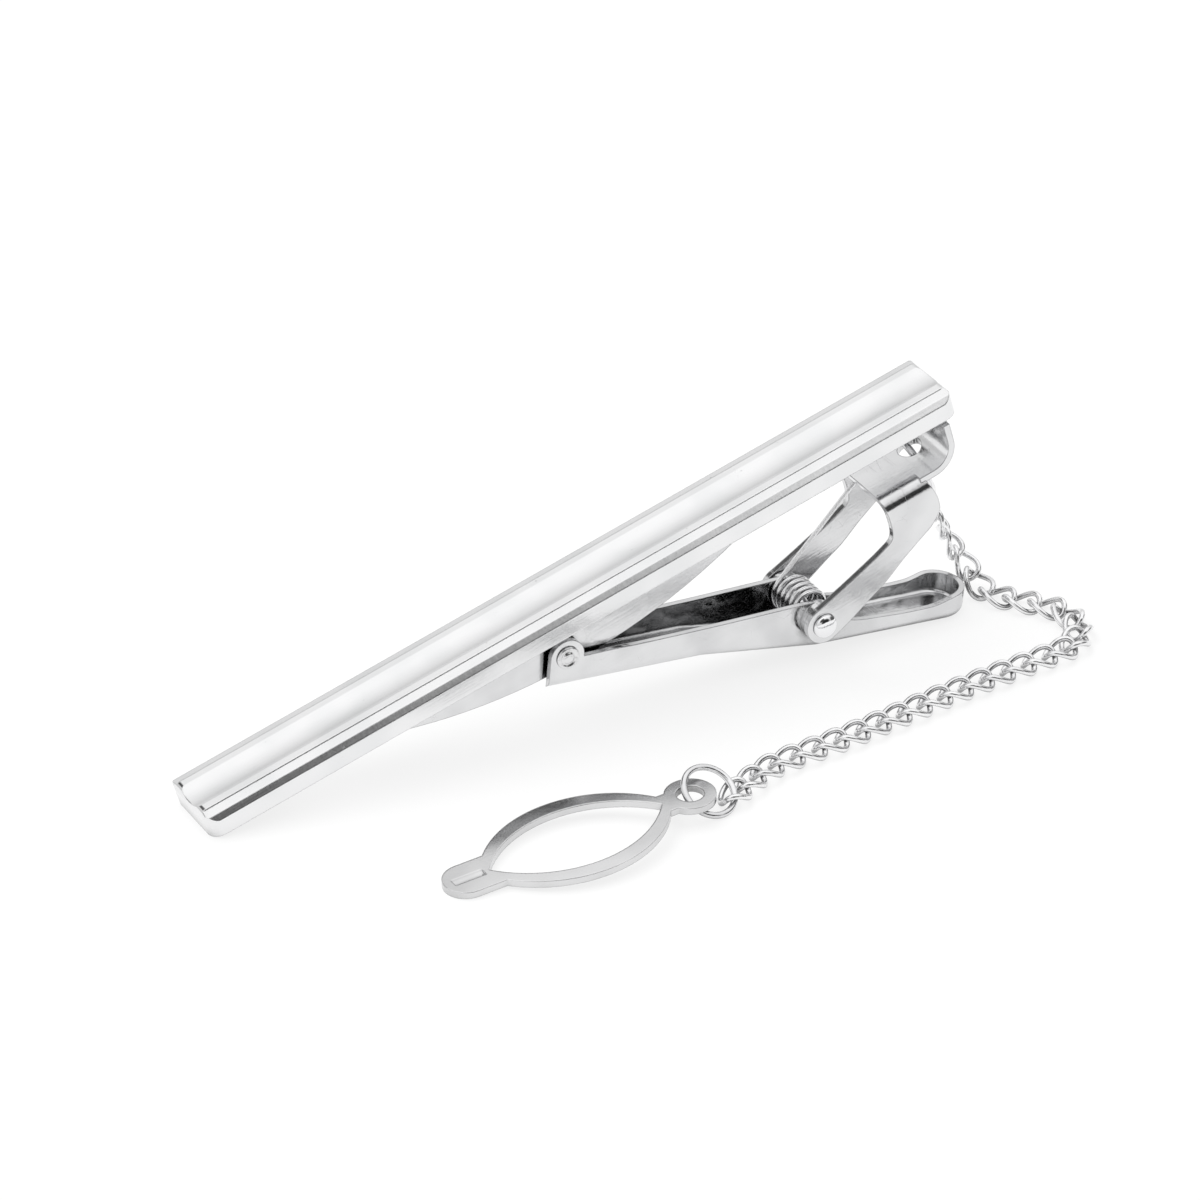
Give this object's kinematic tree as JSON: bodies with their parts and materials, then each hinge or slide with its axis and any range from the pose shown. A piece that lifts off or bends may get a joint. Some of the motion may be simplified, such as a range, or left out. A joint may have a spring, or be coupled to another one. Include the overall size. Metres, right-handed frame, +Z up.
{
  "type": "tie clip",
  "caption": "Sprung lever tie clip with a channelled front bar, a rocking jaw, and a twisted-link chain that ends in a lens-shaped button loop.",
  "frame": {"origin": "on the surface that the clip lies on, under the middle of the whole part", "axes": "+X along the clip towards its sprung end and thumb end, +Y away from the chain, +Z up"},
  "size_m": [0.0646, 0.024, 0.0185],
  "materials": {
    "bar_metal": "bright rhodium-like plating, polished along its length",
    "sheet_metal": "satin plated sheet",
    "rivet_metal": "bright domed rivets",
    "spring_wire": "bare spring wire",
    "ring_wire": "bright plated wire",
    "link_wire": "bright plated wire",
    "loop_metal": "darker satin plated sheet"
  },
  "bodies": {
    "clip": {"front_bar": "bar_metal", "back_plate": "sheet_metal", "pivot_rivet": "rivet_metal"},
    "arm": {"pinch_arm": "sheet_metal", "jaw_rivet": "rivet_metal", "torsion_spring": "spring_wire"},
    "jaw": {"jaw_pad": "sheet_metal"},
    "ring": {"clip_ring": "ring_wire"},
    "chain_01": {"link_01": "link_wire"},
    "chain_02": {"link_02": "link_wire"},
    "chain_03": {"link_03": "link_wire"},
    "chain_04": {"link_04": "link_wire"},
    "chain_05": {"link_05": "link_wire"},
    "chain_06": {"link_06": "link_wire"},
    "chain_07": {"link_07": "link_wire"},
    "chain_08": {"link_08": "link_wire"},
    "chain_09": {"link_09": "link_wire"},
    "chain_10": {"link_10": "link_wire"},
    "chain_11": {"link_11": "link_wire"},
    "chain_12": {"link_12": "link_wire"},
    "chain_13": {"link_13": "link_wire"},
    "chain_14": {"link_14": "link_wire"},
    "chain_15": {"link_15": "link_wire"},
    "chain_16": {"link_16": "link_wire"},
    "chain_17": {"link_17": "link_wire"},
    "chain_18": {"link_18": "link_wire"},
    "chain_19": {"link_19": "link_wire"},
    "chain_20": {"link_20": "link_wire"},
    "chain_21": {"link_21": "link_wire"},
    "chain_22": {"link_22": "link_wire"},
    "chain_23": {"link_23": "link_wire"},
    "chain_24": {"link_24": "link_wire"},
    "chain_25": {"link_25": "link_wire"},
    "chain_26": {"link_26": "link_wire"},
    "chain_27": {"link_27": "link_wire"},
    "chain_28": {"link_28": "link_wire"},
    "chain_29": {"link_29": "link_wire"},
    "end_ring": {"end_ring": "ring_wire"},
    "loop": {"button_loop": "loop_metal"}
  },
  "joints": [
    {"name": "arm_pivot", "type": "hinge", "parent": "clip", "child": "arm", "pos_m": [0.01352, 0.00715, 0.00334], "axis": [0, -1, 0], "range_deg": [0, 25], "stiffness_Nm_per_rad": 0.05, "springref_deg": -34.38, "deforming": ["torsion_spring"]},
    {"name": "jaw_pivot", "type": "hinge", "parent": "arm", "child": "jaw", "pos_m": [-0.00555, 0.00715, 0.00576], "axis": [0, -1, 0], "range_deg": [-25, 0]},
    {"name": "ring_swing", "type": "hinge", "parent": "clip", "child": "ring", "pos_m": [0.02208, 0.0092, 0.01263], "axis": [0, 0, 1], "range_deg": [-8, 8]},
    {"name": "link_01_swing", "type": "hinge", "parent": "ring", "child": "chain_01", "pos_m": [0.02389, 0.0092, 0.00873], "axis": [0, 0, 1], "range_deg": [-12, 20]},
    {"name": "link_02_swing", "type": "hinge", "parent": "chain_01", "child": "chain_02", "pos_m": [0.02455, 0.00971, 0.00733], "axis": [0, 0, -1], "range_deg": [-20, 10]},
    {"name": "link_03_swing", "type": "hinge", "parent": "chain_02", "child": "chain_03", "pos_m": [0.02545, 0.00991, 0.00578], "axis": [0, 0, 1], "range_deg": [-10, 20]},
    {"name": "link_04_swing", "type": "hinge", "parent": "chain_03", "child": "chain_04", "pos_m": [0.02636, 0.00972, 0.00424], "axis": [0, 0, -1], "range_deg": [-20, 10]},
    {"name": "link_05_swing", "type": "hinge", "parent": "chain_04", "child": "chain_05", "pos_m": [0.0271, 0.00918, 0.00269], "axis": [0, 0, 1], "range_deg": [-5, 18]},
    {"name": "link_06_swing", "type": "hinge", "parent": "chain_05", "child": "chain_06", "pos_m": [0.02769, 0.00816, 0.00133], "axis": [0, 0, -1], "range_deg": [-18, 5]},
    {"name": "link_07_swing", "type": "hinge", "parent": "chain_06", "child": "chain_07", "pos_m": [0.02786, 0.00652, 0.00061], "axis": [0, 0, 1], "range_deg": [-20, 20]},
    {"name": "link_08_swing", "type": "hinge", "parent": "chain_07", "child": "chain_08", "pos_m": [0.02884, 0.00501, 0.00058], "axis": [0, 0, -1], "range_deg": [-20, 20]},
    {"name": "link_09_swing", "type": "hinge", "parent": "chain_08", "child": "chain_09", "pos_m": [0.03005, 0.00367, 0.00058], "axis": [0, 0, 1], "range_deg": [-20, 20]},
    {"name": "link_10_swing", "type": "hinge", "parent": "chain_09", "child": "chain_10", "pos_m": [0.03111, 0.00222, 0.00058], "axis": [0, 0, -1], "range_deg": [-20, 20]},
    {"name": "link_11_swing", "type": "hinge", "parent": "chain_10", "child": "chain_11", "pos_m": [0.0313, 0.00043, 0.00058], "axis": [0, 0, 1], "range_deg": [-20, 20]},
    {"name": "link_12_swing", "type": "hinge", "parent": "chain_11", "child": "chain_12", "pos_m": [0.03056, -0.00122, 0.00058], "axis": [0, 0, -1], "range_deg": [-20, 20]},
    {"name": "link_13_swing", "type": "hinge", "parent": "chain_12", "child": "chain_13", "pos_m": [0.02911, -0.00228, 0.00058], "axis": [0, 0, 1], "range_deg": [-20, 20]},
    {"name": "link_14_swing", "type": "hinge", "parent": "chain_13", "child": "chain_14", "pos_m": [0.02732, -0.00253, 0.00058], "axis": [0, 0, -1], "range_deg": [-20, 20]},
    {"name": "link_15_swing", "type": "hinge", "parent": "chain_14", "child": "chain_15", "pos_m": [0.02553, -0.00271, 0.00058], "axis": [0, 0, 1], "range_deg": [-20, 20]},
    {"name": "link_16_swing", "type": "hinge", "parent": "chain_15", "child": "chain_16", "pos_m": [0.02374, -0.0029, 0.00058], "axis": [0, 0, -1], "range_deg": [-20, 20]},
    {"name": "link_17_swing", "type": "hinge", "parent": "chain_16", "child": "chain_17", "pos_m": [0.02196, -0.00311, 0.00058], "axis": [0, 0, 1], "range_deg": [-20, 20]},
    {"name": "link_18_swing", "type": "hinge", "parent": "chain_17", "child": "chain_18", "pos_m": [0.02017, -0.00333, 0.00058], "axis": [0, 0, -1], "range_deg": [-20, 20]},
    {"name": "link_19_swing", "type": "hinge", "parent": "chain_18", "child": "chain_19", "pos_m": [0.01839, -0.00358, 0.00058], "axis": [0, 0, 1], "range_deg": [-20, 20]},
    {"name": "link_20_swing", "type": "hinge", "parent": "chain_19", "child": "chain_20", "pos_m": [0.01661, -0.00386, 0.00058], "axis": [0, 0, -1], "range_deg": [-20, 20]},
    {"name": "link_21_swing", "type": "hinge", "parent": "chain_20", "child": "chain_21", "pos_m": [0.01484, -0.00417, 0.00058], "axis": [0, 0, 1], "range_deg": [-20, 20]},
    {"name": "link_22_swing", "type": "hinge", "parent": "chain_21", "child": "chain_22", "pos_m": [0.01306, -0.00446, 0.00058], "axis": [0, 0, -1], "range_deg": [-20, 20]},
    {"name": "link_23_swing", "type": "hinge", "parent": "chain_22", "child": "chain_23", "pos_m": [0.01128, -0.00473, 0.00058], "axis": [0, 0, 1], "range_deg": [-20, 20]},
    {"name": "link_24_swing", "type": "hinge", "parent": "chain_23", "child": "chain_24", "pos_m": [0.0095, -0.00498, 0.00058], "axis": [0, 0, -1], "range_deg": [-20, 20]},
    {"name": "link_25_swing", "type": "hinge", "parent": "chain_24", "child": "chain_25", "pos_m": [0.00771, -0.00519, 0.00058], "axis": [0, 0, 1], "range_deg": [-20, 20]},
    {"name": "link_26_swing", "type": "hinge", "parent": "chain_25", "child": "chain_26", "pos_m": [0.00592, -0.00534, 0.00058], "axis": [0, 0, -1], "range_deg": [-20, 20]},
    {"name": "link_27_swing", "type": "hinge", "parent": "chain_26", "child": "chain_27", "pos_m": [0.00413, -0.0056, 0.00058], "axis": [0, 0, 1], "range_deg": [-20, 20]},
    {"name": "link_28_swing", "type": "hinge", "parent": "chain_27", "child": "chain_28", "pos_m": [0.00243, -0.00618, 0.00058], "axis": [0, 0, -1], "range_deg": [-20, 20]},
    {"name": "link_29_swing", "type": "hinge", "parent": "chain_28", "child": "chain_29", "pos_m": [0.00081, -0.00697, 0.00058], "axis": [0, 0, 1], "range_deg": [-20, 20]},
    {"name": "end_ring_swing", "type": "hinge", "parent": "chain_29", "child": "end_ring", "pos_m": [-0.00028, -0.00781, 0.00058], "axis": [0, 0, -1], "range_deg": [-15, 5]},
    {"name": "loop_swing", "type": "hinge", "parent": "end_ring", "child": "loop", "pos_m": [-0.00339, -0.00741, 0.00135], "axis": [0, 0, 1], "range_deg": [-12, 12]}
  ],
  "couplings": [
    {"joint": "jaw_pivot", "follows": "arm_pivot", "ratio": -1}
  ]
}
